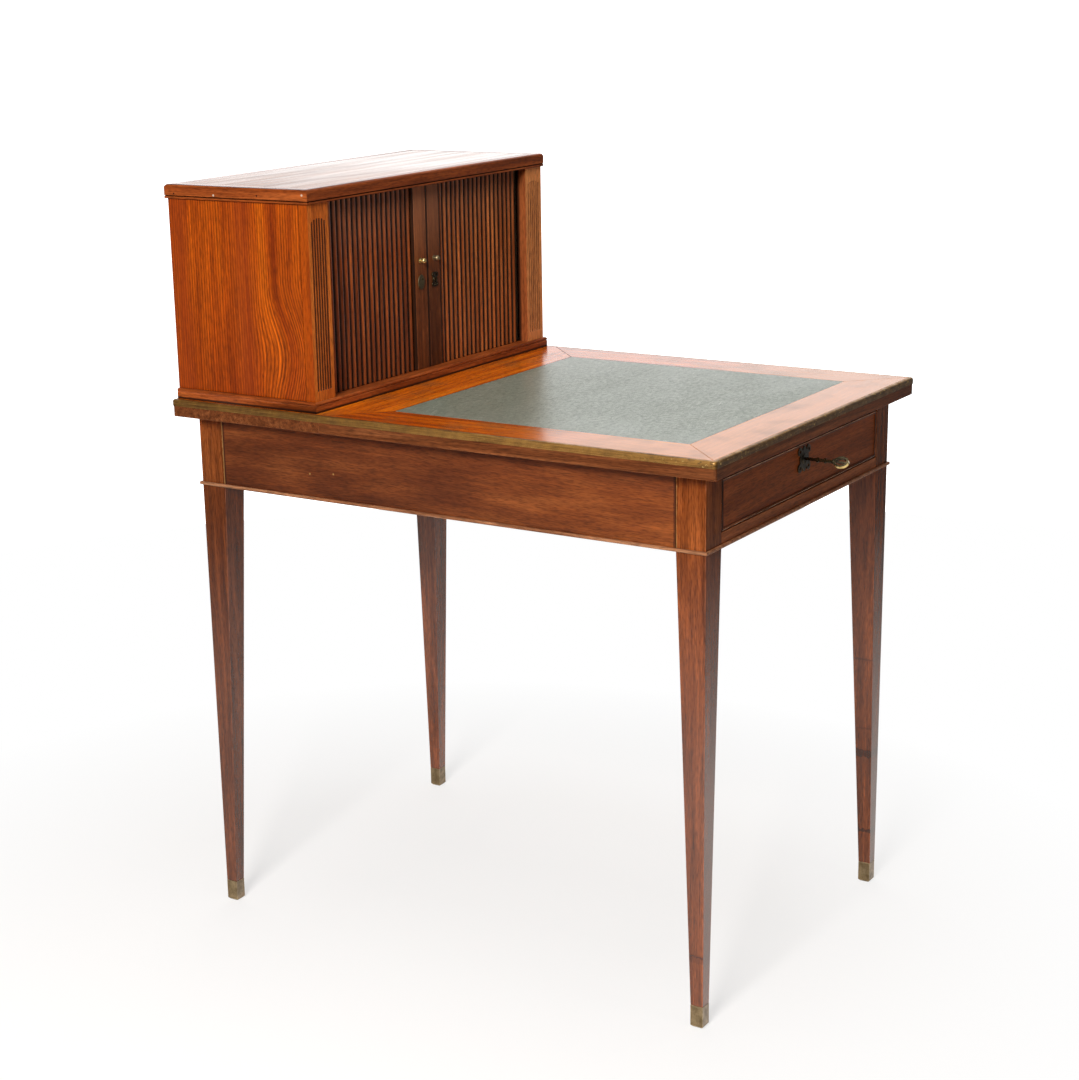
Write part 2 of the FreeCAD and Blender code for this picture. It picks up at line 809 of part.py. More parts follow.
def make_tambours():
    middle = lead_width / 2
    stile = lead()
    pull = knob()
    inner = curtain(slat_start, inner_slat_count, 0)
    wedge = lap()
    outer = [piece.cut(wedge) for piece in curtain(leaf_split, outer_slat_count, bare_slat_count)]
    tail = Part.makeCylinder(tail_radius, slat_top - slat_bottom,
                             Vector(tail_x, track_plane, slat_bottom), up)
    save("tambour_lead_right", stile)
    save("tambour_lead_left", mirrored(stile))
    save("tambour_knob_right", pull)
    save("tambour_knob_left", mirrored(pull))
    save("tambour_inner_leaf_right", *inner)
    save("tambour_inner_leaf_left", *[mirrored(piece) for piece in inner])
    save("tambour_outer_leaf_right", *outer)
    save("tambour_outer_leaf_left", *[mirrored(piece) for piece in outer])
    save("tambour_tail_right", tail)
    save("tambour_tail_left", mirrored(tail))
    plate_height_above_floor = lid_bottom - small_plate_drop
    oval = oval_plate(0, oval_plate_height, oval_plate_width, small_plate_thickness)
    oval.rotate(Vector(0, 0, 0), right, 90)
    oval.translate(Vector(-middle, lead_face - small_plate_thickness / 2, plate_height_above_floor))
    save("tambour_oval_plate_left", oval)
    shield = escutcheon(oval_plate_width, oval_plate_height, small_plate_thickness, lead_face,
                        plate_height_above_floor)
    shield.translate(right * middle)
    save("tambour_escutcheon_right", shield)


os.makedirs("parts", exist_ok=True)
make_top()
make_underframe()
make_drawer_bearers()
make_drawer()
make_hutch()
make_tambours()
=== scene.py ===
import json
import math

import bmesh
import bpy
from mathutils import Matrix, Vector


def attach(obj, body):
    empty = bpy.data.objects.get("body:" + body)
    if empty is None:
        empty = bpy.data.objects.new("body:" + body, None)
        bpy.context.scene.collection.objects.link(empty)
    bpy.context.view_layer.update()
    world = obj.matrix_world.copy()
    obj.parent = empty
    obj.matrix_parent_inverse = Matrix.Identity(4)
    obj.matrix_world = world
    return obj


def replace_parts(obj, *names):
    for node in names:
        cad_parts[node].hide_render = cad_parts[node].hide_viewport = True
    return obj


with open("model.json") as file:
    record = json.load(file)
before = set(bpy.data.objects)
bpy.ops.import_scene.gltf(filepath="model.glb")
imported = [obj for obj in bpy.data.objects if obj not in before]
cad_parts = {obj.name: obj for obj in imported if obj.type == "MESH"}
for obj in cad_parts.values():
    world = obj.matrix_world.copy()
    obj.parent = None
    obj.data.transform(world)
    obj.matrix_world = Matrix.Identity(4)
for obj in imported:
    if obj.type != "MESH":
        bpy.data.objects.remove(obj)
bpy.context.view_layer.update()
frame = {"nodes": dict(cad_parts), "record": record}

# Legs
# Four sticks of solid mahogany, each with the square post above it in one piece, planed to a
# taper on the two inner faces. Handling has rubbed the arrises round and bared paler wood there,
# and the joints with the aprons have been filled.

body_of = {n: body for body, nodes in frame["record"]["behaviour"]["bodies"].items() for n in nodes}


def reach(name):
    """The lowest and the highest corner of a node's solid."""
    places = [vert.co for vert in frame["nodes"][name].data.vertices]
    low = Vector([min(place[axis] for place in places) for axis in range(3)])
    high = Vector([max(place[axis] for place in places) for axis in range(3)])
    return low, high


def node(tree, kind, sockets, **settings):
    """A shader node with its settings, and its inputs set to values or linked to other outputs."""
    made = tree.nodes.new(kind)
    for key, value in settings.items():
        setattr(made, key, value)
    for key, value in sockets.items():
        if isinstance(value, bpy.types.NodeSocket):
            tree.links.new(value, made.inputs[key])
        else:
            made.inputs[key].default_value = value
    return made


def blank_finish(name):
    """A new material, its node tree and its surface shader."""
    finish = bpy.data.materials.new(name)
    finish.use_nodes = True
    tree = finish.node_tree
    return finish, tree, tree.nodes["Principled BSDF"]


def opaque(colour):
    return (*colour, 1.0)


def shaded(tones, shade):
    """Tones made darker or lighter by one factor."""
    return tuple(tuple(shade * c for c in tone) for tone in tones)


def mixed(tree, share, first, second, blend="MIX"):
    """Two colours mixed by a share."""
    made = tree.nodes.new("ShaderNodeMix")
    made.data_type = "RGBA"
    made.blend_type = blend
    for place, value in ((0, share), (6, first), (7, second)):
        if isinstance(value, bpy.types.NodeSocket):
            tree.links.new(value, made.inputs[place])
        else:
            made.inputs[place].default_value = value if place == 0 else opaque(value)
    return made.outputs[2]


def scaled(tree, share, low, high, to_low=0.0, to_high=1.0):
    """A value moved from one range to another, and held at its ends."""
    sockets = {"Value": share, "From Min": low, "From Max": high, "To Min": to_low, "To Max": to_high}
    return node(tree, "ShaderNodeMapRange", sockets).outputs["Result"]


def summed(tree, operation, first, second=0.0):
    """One or two values put through an operation."""
    made = node(tree, "ShaderNodeMath", {0: first, 1: second}, operation=operation)
    return made.outputs["Value"]


def vector(tree, operation, first, second, third=(0, 0, 0)):
    """Two or three vectors put through an operation."""
    made = node(tree, "ShaderNodeVectorMath", {0: first, 1: second, 2: third}, operation=operation)
    return made.outputs[0]


def distance(tree, first, second):
    """How far one place is from another."""
    made = node(tree, "ShaderNodeVectorMath", {0: first, 1: second}, operation="DISTANCE")
    return made.outputs["Value"]


def surface(tree):
    """The place of a surface on the table, in metres."""
    return node(tree, "ShaderNodeTexCoord", {}).outputs["Object"]


def on_axis(tree, axis):
    """The place of a surface on one axis of the table."""
    return node(tree, "ShaderNodeSeparateXYZ", {0: surface(tree)}).outputs[axis]


def noise(tree, place, size, detail=2.0):
    """Noise whose grains have the given size along each axis, in metres."""
    pace = tuple(1.0 / length for length in size)
    at = vector(tree, "MULTIPLY", place, pace)
    sockets = {"Vector": at, "Scale": 1.0, "Detail": detail, "Roughness": 0.55, "Distortion": 0.0}
    return node(tree, "ShaderNodeTexNoise", sockets).outputs


def along_grain(tree, grain, seed, eye=None):
    """Places in the wood with X along its fibres, which wander, and swerve round an eye."""
    turn = {"x": (0, 0, 0), "y": (0, 0, -math.pi / 2), "z": (0, math.pi / 2, 0)}[grain]
    wander_size = (0.5, 0.15, 0.15)
    wander = (0, 0.03, 0.03)
    shift = (seed, 1.7 * seed, 0.6 * seed)
    place = surface(tree)
    at = node(tree, "ShaderNodeMapping", {"Vector": place, "Rotation": turn, "Location": shift}).outputs[0]
    drift = noise(tree, at, wander_size, detail=0.0)["Color"]
    at = vector(tree, "MULTIPLY_ADD", drift, wander, at)
    if eye:
        middle, half_size, swerve = eye
        away = vector(tree, "DIVIDE", vector(tree, "SUBTRACT", place, middle), half_size)
        swell = node(tree, "ShaderNodeMapRange",
                     {"Value": distance(tree, away, (0, 0, 0)), "To Min": swerve, "To Max": 0.0},
                     interpolation_type="SMOOTHSTEP").outputs["Result"]
        aside = node(tree, "ShaderNodeCombineXYZ", {"Y": swell}).outputs[0]
        at = vector(tree, "ADD", at, aside)
    return at


def arrises(tree):
    """The faces made by rounding an edge."""
    return node(tree, "ShaderNodeAttribute", {}, attribute_name="wear").outputs["Fac"]


def worn(tree, place, patch=0.02):
    """Where an arris is rubbed bare: the rounded faces, in patches."""
    patches = scaled(tree, noise(tree, place, (patch, patch, patch))["Fac"], 0.35, 0.65)
    return summed(tree, "MULTIPLY", arrises(tree), patches)


def set_relief(tree, height, strength, depth):
    """Give the surface shader a fine relief."""
    bump = node(tree, "ShaderNodeBump", {"Height": height, "Strength": strength, "Distance": depth})
    tree.links.new(bump.outputs["Normal"], tree.nodes["Principled BSDF"].inputs["Normal"])


def mahogany(name, grain, tones, seed, figure=(0.35, 0.02), lines=0.16, roughness=0.4, specular=0.2,
             bare=0.4, eye=None, grime=False, rings=None):
    """Polished mahogany: broad figure, streaks, fine lines, pores and, if asked for, growth rings.

    Its arrises are rubbed pale, or dark with dirt.
    """
    dark, middle, light = tones
    length, width = figure
    streak_size = (0.1, 0.0045, 0.0045)
    line_size = (0.16, 0.0012, 0.0012)
    pore_size = (0.011, 0.0011, 0.0011)
    finish, tree, shader = blank_finish(name)
    at = along_grain(tree, grain, seed, eye)
    broad = noise(tree, at, (length, width, width))["Fac"]
    streak = noise(tree, at, streak_size)["Fac"]
    line = noise(tree, at, line_size)["Fac"]
    pore = noise(tree, at, pore_size, detail=1.0)["Fac"]
    colour = mixed(tree, scaled(tree, broad, 0.3, 0.5), dark, middle)
    colour = mixed(tree, scaled(tree, broad, 0.5, 0.68), colour, light)
    depth = summed(tree, "MULTIPLY", scaled(tree, line, 0.3, 0.7, 1 - lines, 1 + lines),
                   scaled(tree, pore, 0.42, 0.72, 1.1, 0.55))
    depth = summed(tree, "MULTIPLY", depth, scaled(tree, streak, 0.3, 0.7, 1 - lines, 1 + lines))
    if rings:
        strength, pitch = rings
        across = node(tree, "ShaderNodeSeparateXYZ", {0: at}).outputs["Y"]
        ripple = summed(tree, "SINE", summed(tree, "MULTIPLY", across, 2 * math.pi / pitch))
        ripple = summed(tree, "MULTIPLY", scaled(tree, ripple, -1.0, 1.0, -strength, strength), broad)
        depth = summed(tree, "MULTIPLY", depth, summed(tree, "ADD", ripple, 1.0))
    colour = node(tree, "ShaderNodeVectorMath", {0: colour, "Scale": depth}, operation="SCALE").outputs[0]
    if grime:
        colour = mixed(tree, arrises(tree), colour, tuple(0.1 * c for c in dark))
        specular = scaled(tree, arrises(tree), 0.0, 1.0, specular, 0.02)
        tree.links.new(specular, shader.inputs["Specular IOR Level"])
    else:
        pale = tuple(min(1.0, 1.6 * c + 0.03) for c in light)
        colour = mixed(tree, summed(tree, "MULTIPLY", worn(tree, at), bare), colour, pale)
        shader.inputs["Specular IOR Level"].default_value = specular
    tree.links.new(colour, shader.inputs["Base Color"])
    rough = scaled(tree, line, 0.2, 0.8, roughness + 0.07, roughness - 0.05)
    tree.links.new(rough, shader.inputs["Roughness"])
    set_relief(tree, summed(tree, "SUBTRACT", line, pore), strength=0.1, depth=0.0003)
    return finish


def band(tree, axis, place, width, blur=0.0008, ragged=0.0):
    """A share of one within a band across an axis, with blurred and ragged edges."""
    grain_size = (0.006, 0.006, 0.006)
    stray = scaled(tree, noise(tree, surface(tree), grain_size)["Fac"], 0.2, 0.8, -ragged, ragged)
    off = summed(tree, "SUBTRACT", summed(tree, "ADD", on_axis(tree, axis), stray), place)
    return scaled(tree, summed(tree, "ABSOLUTE", off), width / 2, width / 2 + blur, 1.0, 0.0)


def tint(finish, share, tone, strength=1.0, blend="MIX"):
    """Mix a tone into a finish, or multiply by it, by a share made in its tree."""
    tree = finish.node_tree
    base = tree.nodes["Principled BSDF"].inputs["Base Color"]
    share = summed(tree, "MULTIPLY", share, strength)
    tree.links.new(mixed(tree, share, base.links[0].from_socket, tone, blend), base)


def cad_copy(name):
    """The solid of a node as one closed mesh with flat faces joined."""
    weld = 2e-6
    flat_angle = math.radians(0.6)
    bm = bmesh.new()
    bm.from_mesh(frame["nodes"][name].data)
    bmesh.ops.remove_doubles(bm, verts=bm.verts, dist=weld)
    bmesh.ops.dissolve_limit(bm, angle_limit=flat_angle, verts=bm.verts, edges=bm.edges)
    return bm


def soften(bm, arris):
    """Round the sharp edges, and mark the faces made by that as open to wear."""
    sharp_angle = math.radians(32)
    steps = 2
    wear = bm.faces.layers.float.new("wear")
    sharp = [e for e in bm.edges if len(e.link_faces) == 2 and e.calc_face_angle() > sharp_angle]
    made = bmesh.ops.bevel(bm, geom=sharp, offset=arris, offset_type="OFFSET", affect="EDGES",
                           segments=steps, profile=0.5, material=-1, clamp_overlap=True)
    for face in made["faces"]:
        face[wear] = 1.0


def piece(name, bm, finishes, body):
    """A finished piece from a mesh under way, riding on its body."""
    crease_angle = math.radians(40)
    mesh = bpy.data.meshes.new(name)
    for face in bm.faces:
        face.smooth = True
    bm.to_mesh(mesh)
    bm.free()
    for finish in finishes:
        mesh.materials.append(finish)
    mesh.set_sharp_from_angle(angle=crease_angle)
    made = bpy.data.objects.new(name, mesh)
    bpy.context.scene.collection.objects.link(made)
    even = made.modifiers.new("even_shading", "WEIGHTED_NORMAL")
    even.keep_sharp = True
    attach(made, body)
    return made


def dressed(name, finishes, arris, choose=None):
    """The piece that stands for a solid: its shape with softened arrises and its finishes."""
    bm = cad_copy(name)
    soften(bm, arris)
    if not isinstance(finishes, (list, tuple)):
        finishes = [finishes]
    if choose:
        for face in bm.faces:
            face.material_index = choose(face)
    made = piece(name + "_dressed", bm, finishes, body_of[name])
    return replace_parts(made, name)


leg_tones = ((0.1, 0.021, 0.004), (0.165, 0.038, 0.008), (0.24, 0.058, 0.013))
# A dark tone for scars and marks, also used for painted shade and painted shadow.
scar_and_shade_tone = (0.025, 0.006, 0.002)
filler_tone = (0.3, 0.16, 0.05)
apron_foot = reach("apron_beads")[0].z
post_joints = {"front_left": reach("leg_front_left")[1].y, "back_left": reach("leg_back_left")[0].y}
joint_width = 0.002
bead_blur = 0.001
gloss_heights = (0.35, 0.66)
shade_under_bead_heights = (0.38, 0.55)
polish_fade = 0.3
polish_roughness = 0.25
side_polish = 0.1
# Painted light and shade above the bead: the side faces of a post are lighter, the front faces darker.
post_light_and_shade_gain = {"side": (1.22, 1.28, 1.2), "front": (0.84, 0.92, 0.78)}

# For each leg, its shade, the gloss of its taper and of its post, the polish on its front face and
# how high that goes, and its scars with their height, width and strength.
legs = {
    "front_left": {
        "shade": 1.0, "gloss": 0.68, "post_gloss": 0.12, "polish": 0.9, "polish_top": 0.6,
        "scars": ((0.1, 0.0012, 0.7), (0.098, 0.012, 0.25)),
    },
    "front_right": {
        "shade": 0.85, "gloss": 0.6, "post_gloss": 0.16, "polish": 0.9, "polish_top": 0.44,
        "scars": ((0.083, 0.005, 0.8), (0.206, 0.011, 0.75), (0.245, 0.001, 0.4), (0.352, 0.0018, 0.5)),
    },
    "back_left": {
        "shade": 0.74, "gloss": 0.5, "post_gloss": 0.3, "polish": 0.6, "polish_top": 0.6, "scars": (),
    },
    "back_right": {
        "shade": 1.05, "gloss": 0.7, "post_gloss": 0.3, "polish": 0.9, "polish_top": 0.6, "scars": (),
    },
}


def leg_wood(end, face, seed, polish):
    """Wood for a leg: polish left on the tapered part, painted shade under the bead, scars, and a filled
    joint.
    """
    leg = legs[end]
    wood = mahogany("leg_" + end + "_" + face, "z", shaded(leg_tones, leg["shade"]), seed,
                    figure=(0.3, 0.012), lines=0.28, roughness=0.22, bare=0.5)
    tree = wood.node_tree
    height = on_axis(tree, "Z")
    shader = tree.nodes["Principled BSDF"]
    gloss = scaled(tree, height, *gloss_heights, leg["gloss"], leg["post_gloss"])
    tree.links.new(gloss, shader.inputs["Specular IOR Level"])
    coat = scaled(tree, height, leg["polish_top"] - polish_fade, leg["polish_top"], polish, 0.0)
    tree.links.new(coat, shader.inputs["Coat Weight"])
    shader.inputs["Coat Roughness"].default_value = polish_roughness
    above_bead = scaled(tree, height, apron_foot - bead_blur, apron_foot)
    below_bead = summed(tree, "SUBTRACT", 1.0, above_bead)
    # Painted shade: the leg darkens towards the apron bead, where the apron above shades it.
    shade_under_bead = summed(tree, "MULTIPLY", below_bead, scaled(tree, height, *shade_under_bead_heights))
    tint(wood, shade_under_bead, scar_and_shade_tone, 0.19)
    # Painted light on the side faces of the post and painted shade on its front face.
    tint(wood, above_bead, post_light_and_shade_gain[face], blend="MULTIPLY")
    for level, width, strength in leg["scars"]:
        tint(wood, band(tree, "Z", level, width, blur=0.001, ragged=0.003), scar_and_shade_tone, strength)
    if end in post_joints:
        joint = band(tree, "Y", post_joints[end], joint_width, blur=0.001, ragged=0.001)
        tint(wood, summed(tree, "MULTIPLY", joint, above_bead), filler_tone, 0.6)
    return wood


def faces_front(face):
    return int(face.normal.y < -0.7)


for k, end in enumerate(legs):
    seed = 0.37 * k
    woods = [leg_wood(end, "side", seed, side_polish), leg_wood(end, "front", seed, legs[end]["polish"])]
    dressed("leg_" + end, woods, arris=0.001, choose=faces_front)

# Sabots
# Cups of sheet brass pushed on the ends of the legs. They have gone a dull olive brown, with
# rubbed edges, and shine most on the front.


def old_brass(name, tones, rubbed=0.6, roughness=0.42, metal=0.85):
    """Brass gone brown, with olive clouds, specks of verdigris and rubbed bright edges."""
    dull, middle, bright = tones
    cloud_size = (0.012, 0.012, 0.012)
    speck_size = (0.0012, 0.0012, 0.0012)
    finish, tree, shader = blank_finish(name)
    at = surface(tree)
    cloud = noise(tree, at, cloud_size, detail=4.0)["Fac"]
    speck = noise(tree, at, speck_size)["Fac"]
    colour = mixed(tree, scaled(tree, cloud, 0.35, 0.65), dull, middle)
    colour = mixed(tree, scaled(tree, speck, 0.58, 0.7, 0.0, 0.6), colour, tuple(0.4 * c for c in dull))
    rub = summed(tree, "MULTIPLY", worn(tree, at, patch=0.008), rubbed)
    colour = mixed(tree, rub, colour, bright)
    tree.links.new(colour, shader.inputs["Base Color"])
    shader.inputs["Metallic"].default_value = metal
    rough = scaled(tree, cloud, 0.3, 0.7, roughness + 0.15, roughness - 0.1)
    tree.links.new(rough, shader.inputs["Roughness"])
    set_relief(tree, speck, strength=0.15, depth=0.0004)
    return finish


sabot_tones = ((0.175, 0.12, 0.06), (0.33, 0.245, 0.135), (0.7, 0.54, 0.28))
sabot_brass = old_brass("sabot_brass", sabot_tones)
sabot_front = old_brass("sabot_front", sabot_tones)
shader = sabot_front.node_tree.nodes["Principled BSDF"]
shader.inputs["Coat Weight"].default_value = 1.0
shader.inputs["Coat Roughness"].default_value = polish_roughness
for end in legs:
    dressed("sabot_" + end, [sabot_brass, sabot_front], arris=0.0005, choose=faces_front)

# Aprons and front rails
# Planks of mahogany tenoned into the posts, with the grain along them, browner than the hutch.
# The left one has two nicks; the sun has paled the front ends, below painted shade under the top's
# overhang.

apron_tones = ((0.07, 0.015, 0.0038), (0.115, 0.027, 0.0063), (0.165, 0.043, 0.0105))
rail_tones = ((0.17, 0.046, 0.013), (0.23, 0.066, 0.02), (0.29, 0.09, 0.03))
sunned_gain = (1.65, 1.65, 1.3)
sunned_depths = (0.0, -0.33)
overhang_shade_heights = (0.73, 0.7)
joint_lap = 0.0013
joint_dirt_width = 0.0025
joint_places = (post_joints["front_left"] + joint_lap, post_joints["back_left"] - joint_lap)
apron_face = reach("apron_left")[0].x
nicks = ((apron_face, 0.2233, 0.6718), (apron_face, 0.1832, 0.6755))
nick_radius = 0.0016


def spot(tree, centre, radius):
    """A share of one within a small round spot."""
    return scaled(tree, distance(tree, surface(tree), centre), 0.6 * radius, radius, 1.0, 0.0)


for k, (side, grain) in enumerate((("left", "y"), ("right", "y"), ("back", "x"))):
    wood = mahogany("apron_wood_" + side, grain, apron_tones, 0.9 + 0.41 * k, figure=(0.16, 0.032),
                    lines=0.17, grime=True)
    tree = wood.node_tree
    # The front ends are paled, all but a strip at the top, left darker as painted shade under the overhang.
    sunned_below_painted_shade = summed(tree, "MULTIPLY", scaled(tree, on_axis(tree, "Y"), *sunned_depths),
                    scaled(tree, on_axis(tree, "Z"), *overhang_shade_heights))
    tint(wood, sunned_below_painted_shade, sunned_gain, blend="MULTIPLY")
    for place in joint_places:
        tint(wood, band(tree, "Y", place, joint_dirt_width, blur=0.001, ragged=0.0006), scar_and_shade_tone, 0.7)
    for centre in nicks:
        tint(wood, spot(tree, centre, nick_radius), filler_tone)
    dressed("apron_" + side, wood, arris=0.0005)
for k, rail in enumerate(("front_rail_upper", "front_rail_lower")):
    wood = mahogany(rail + "_wood", "x", rail_tones, 2.3 + 0.3 * k, figure=(0.3, 0.01), lines=0.12,
                    roughness=0.36, specular=0.06)
    dressed(rail, wood, arris=0.0004)

# Apron bead
# A thin half-round strip of mahogany, mitred and glued round the foot of the aprons, and rubbed
# pale along its nose.

bead_tones = ((0.16, 0.055, 0.02), (0.26, 0.1, 0.042), (0.36, 0.16, 0.075))
bead_wood = mahogany("bead_wood", "y", bead_tones, 3.1, figure=(0.1, 0.006), bare=0.6)
dressed("apron_beads", bead_wood, arris=0.0003)

# Hidden carcase parts
# Glue blocks, runners, kickers and stops of planed oak, and the core of the top, glued in place
# and never polished. They are seen only from below or with the drawer out.

oak_tones = ((0.24, 0.15, 0.075), (0.36, 0.24, 0.13), (0.44, 0.31, 0.18))


def bare_oak(name, grain, seed):
    """Planed oak with no polish: open pores and pale rays."""
    return mahogany(name, grain, oak_tones, seed, figure=(0.25, 0.012), lines=0.2, roughness=0.62, bare=0.2)


oak_along = bare_oak("oak_runner", "y", 0.2)
oak_across = bare_oak("oak_block", "x", 0.5)
for name in ("drawer_runners", "drawer_kickers"):
    dressed(name, oak_along, arris=0.0006)
for name in ("top_glue_blocks", "drawer_stops", "top_core"):
    dressed(name, oak_across, arris=0.0006)

# Drawer
# A mahogany front with oak sides lapped into its ends, and an oak back and bottom. A fine cock bead
# is let in round the front, with a painted highlight on the rounded shoulders of its level lengths
# and a painted shadow down its left end.

drawer_tones = ((0.138, 0.031, 0.0065), (0.188, 0.045, 0.0095), (0.238, 0.061, 0.0145))
cock_tones = ((0.07, 0.02, 0.007), (0.1, 0.03, 0.011), (0.14, 0.044, 0.018))
# Painted highlight: pale tones for the rounded shoulders of the level lengths of the bead.
shoulder_highlight_tones = ((0.42, 0.27, 0.18), (0.56, 0.39, 0.28), (0.7, 0.52, 0.4))
drawer_half = reach("drawer_front")[1].x
cock_width = 0.0026
front_wood = mahogany("drawer_front_wood", "x", drawer_tones, 4.2, figure=(0.34, 0.02), lines=0.12,
                      roughness=0.36, specular=0.06, grime=True)
dressed("drawer_front", front_wood, arris=0.0004)


def on_shoulder(face):
    """Whether a face is on the rounded shoulders of the beads that lie level."""
    x, y, z = face.calc_center_median()
    return int(abs(x) < drawer_half - cock_width and face.normal.y < -0.2 and abs(face.normal.z) > 0.3)


cock_woods = [mahogany("cock_bead_" + part, "x", tones, 4.9, figure=(0.1, 0.006), bare=0.0)
              for part, tones in (("wood", cock_tones), ("shoulder_highlight", shoulder_highlight_tones))]
# Painted shadow down the left end of the bead, as if cast by the edge of the post.
left_painted_shadow = band(cock_woods[0].node_tree, "X", -drawer_half, 2 * cock_width)
tint(cock_woods[0], left_painted_shadow, scar_and_shade_tone, 0.95)
dressed("drawer_cock_beads", cock_woods, arris=0.0001, choose=on_shoulder)
for name in ("drawer_side_left", "drawer_side_right"):
    dressed(name, oak_along, arris=0.0007)
for name in ("drawer_back", "drawer_bottom"):
    dressed(name, oak_across, arris=0.0007)

# Drawer lock
# A brass box lock let into the back of the drawer front, and its bolt, which rises into the rail
# above.

lock_tones = ((0.2, 0.14, 0.06), (0.42, 0.31, 0.14), (0.75, 0.58, 0.28))
lock_brass = old_brass("lock_brass", lock_tones)
for name in ("drawer_lock_case", "drawer_lock_bolt"):
    dressed(name, lock_brass, arris=0.0002)

# Drawer key plate
# A cast plate of dark bronze, lobed and pierced, pinned over the keyhole. Its edges are a little
# rubbed.

bronze_tones = ((0.022, 0.017, 0.009), (0.06, 0.045, 0.024), (0.34, 0.25, 0.12))
dark_bronze = old_brass("dark_bronze", bronze_tones, rubbed=0.5, roughness=0.36)
dressed("drawer_escutcheon", dark_bronze, arris=0.0004)

# Drawer key
# A turned and filed brass key that stands in the lock, dark in its hollows and bright on the rim
# of its bow.

key_tones = ((0.02, 0.015, 0.007), (0.07, 0.05, 0.022), (0.95, 0.74, 0.36))
bow_tones = ((0.55, 0.38, 0.13), (0.9, 0.68, 0.28), (0.98, 0.84, 0.5))
bow_length = 0.021
bow_bar = 0.003
bow_tilt = math.radians(40)
key_low, key_high = reach("drawer_key")
bow_start = key_low.y + bow_length
bow_middle = Vector((0, key_low.y + bow_length / 2, (key_low.z + key_high.z) / 2))
bow_flat = Vector((-math.sin(bow_tilt), 0, math.cos(bow_tilt)))


def on_bow_rim(face):
    """Whether a face is on the outer edge of the key's bow."""
    place = face.calc_center_median()
    away = place - bow_middle
    outward = face.normal.dot(away) > 0.5 * away.length
    edge = abs(face.normal.dot(bow_flat)) < 0.6
    return int(place.y < bow_start and outward and away.length > bow_bar and edge)


key_brass = old_brass("key_brass", key_tones, rubbed=1.0, roughness=0.26)
bow_gold = old_brass("bow_gold", bow_tones, rubbed=1.0, roughness=0.18)
dressed("drawer_key", [key_brass, bow_gold], arris=0.0004, choose=on_bow_rim)

# Top boards
# A border of mahogany mitred at its corners, with a broad board under the hutch, tongued to the
# core. It is polished bright, bleached towards the front and dulled in patches by hands.

top_tones = ((0.33, 0.05, 0.001), (0.5, 0.09, 0.002), (0.65, 0.14, 0.0035))
edge_tones = ((0.085, 0.023, 0.0065), (0.13, 0.037, 0.011), (0.18, 0.056, 0.018))
bleached_tone = (0.56, 0.2, 0.035)
bleached_depths = (-0.08, -0.25)
handled_tone = (0.2, 0.075, 0.02)
handled_size = (0.07, 0.07, 0.07)
back_gain = {"top_border_left": (0.86, 0.76, 0.5), "top_back_board": (1.2, 1.28, 1.15)}
back_depths = (-0.05, 0.06)
polish_widths = (0.0, 0.28)
rim_depth = 0.003
top_low, top_high = reach("brass_edging")


def on_rim(face):
    """Whether a face is one of the outer edges of the top."""
    x, y, z = face.calc_center_median()
    outside = abs(x) > top_high.x - rim_depth or y < top_low.y + rim_depth or y > top_high.y - rim_depth
    return int(abs(face.normal.z) < 0.7 and outside)


for k, (board, grain) in enumerate((("top_border_front", "x"), ("top_border_left", "y"),
                                    ("top_border_right", "y"), ("top_back_board", "x"))):
    seed = 5.3 + 0.47 * k
    upper = mahogany(board + "_wood", grain, top_tones, seed, figure=(0.4, 0.01), lines=0.2,
                     roughness=0.2, grime=True)
    tree = upper.node_tree
    tint(upper, scaled(tree, on_axis(tree, "Y"), *bleached_depths), bleached_tone, 0.7)
    if board in back_gain:
        tint(upper, scaled(tree, on_axis(tree, "Y"), *back_depths), back_gain[board], blend="MULTIPLY")
    dull = noise(tree, surface(tree), handled_size, detail=4.0)["Fac"]
    tint(upper, scaled(tree, dull, 0.5, 0.7), handled_tone, 0.6)
    polish = summed(tree, "MULTIPLY", scaled(tree, dull, 0.42, 0.68, 0.62, 0.34),
                    scaled(tree, on_axis(tree, "X"), *polish_widths, 1.0, 1.25))
    polish = summed(tree, "SUBTRACT", polish, arrises(tree))
    tree.links.new(polish, tree.nodes["Principled BSDF"].inputs["Specular IOR Level"])
    edge = mahogany(board + "_edge", grain, edge_tones, seed, figure=(0.25, 0.006), lines=0.25,
                    specular=0.08, bare=0.5)
    dressed(board, [upper, edge], arris=0.0005, choose=on_rim)

# Leather
# A skin of green leather gone grey, glued into the border. Use has mottled it, scratched it most
# towards the hutch, and worn its shine where elbows rest.

hide_tone = (0.1, 0.125, 0.089)
faded_hide_tone = (0.204, 0.226, 0.17)
scratch_tone = (0.45, 0.45, 0.39)
stain_tone = (0.05, 0.065, 0.045)
mottle_size = (0.008, 0.006, 0.008)
fleck_size = (0.0024, 0.0016, 0.0024)
cloud_size = (0.05, 0.03, 0.05)
drift_size = (0.22, 0.07, 0.1)
rubbed_size = (0.09, 0.07, 0.09)
scratch_size = (0.04, 0.0013, 0.04)
scratch_turns = (0.5, -0.3, 1.2)
pebbles_per_metre = 900.0
elbow_place = (0.0, -0.2, top_high.z)
elbow_reach = (0.05, 0.28)
scratched_depths = (-0.05, 0.1)
shiny_widths = (0.12, 0.21)
finish, tree, shader = blank_finish("writing_leather")
at = surface(tree)
mottle = noise(tree, at, mottle_size, detail=5.0)["Fac"]
fleck = noise(tree, at, fleck_size, detail=3.0)["Fac"]
cloud = noise(tree, at, cloud_size, detail=3.0)["Fac"]
drift = noise(tree, at, drift_size, detail=1.0)["Fac"]
pebble = node(tree, "ShaderNodeTexVoronoi", {"Vector": at, "Scale": pebbles_per_metre}).outputs["Distance"]
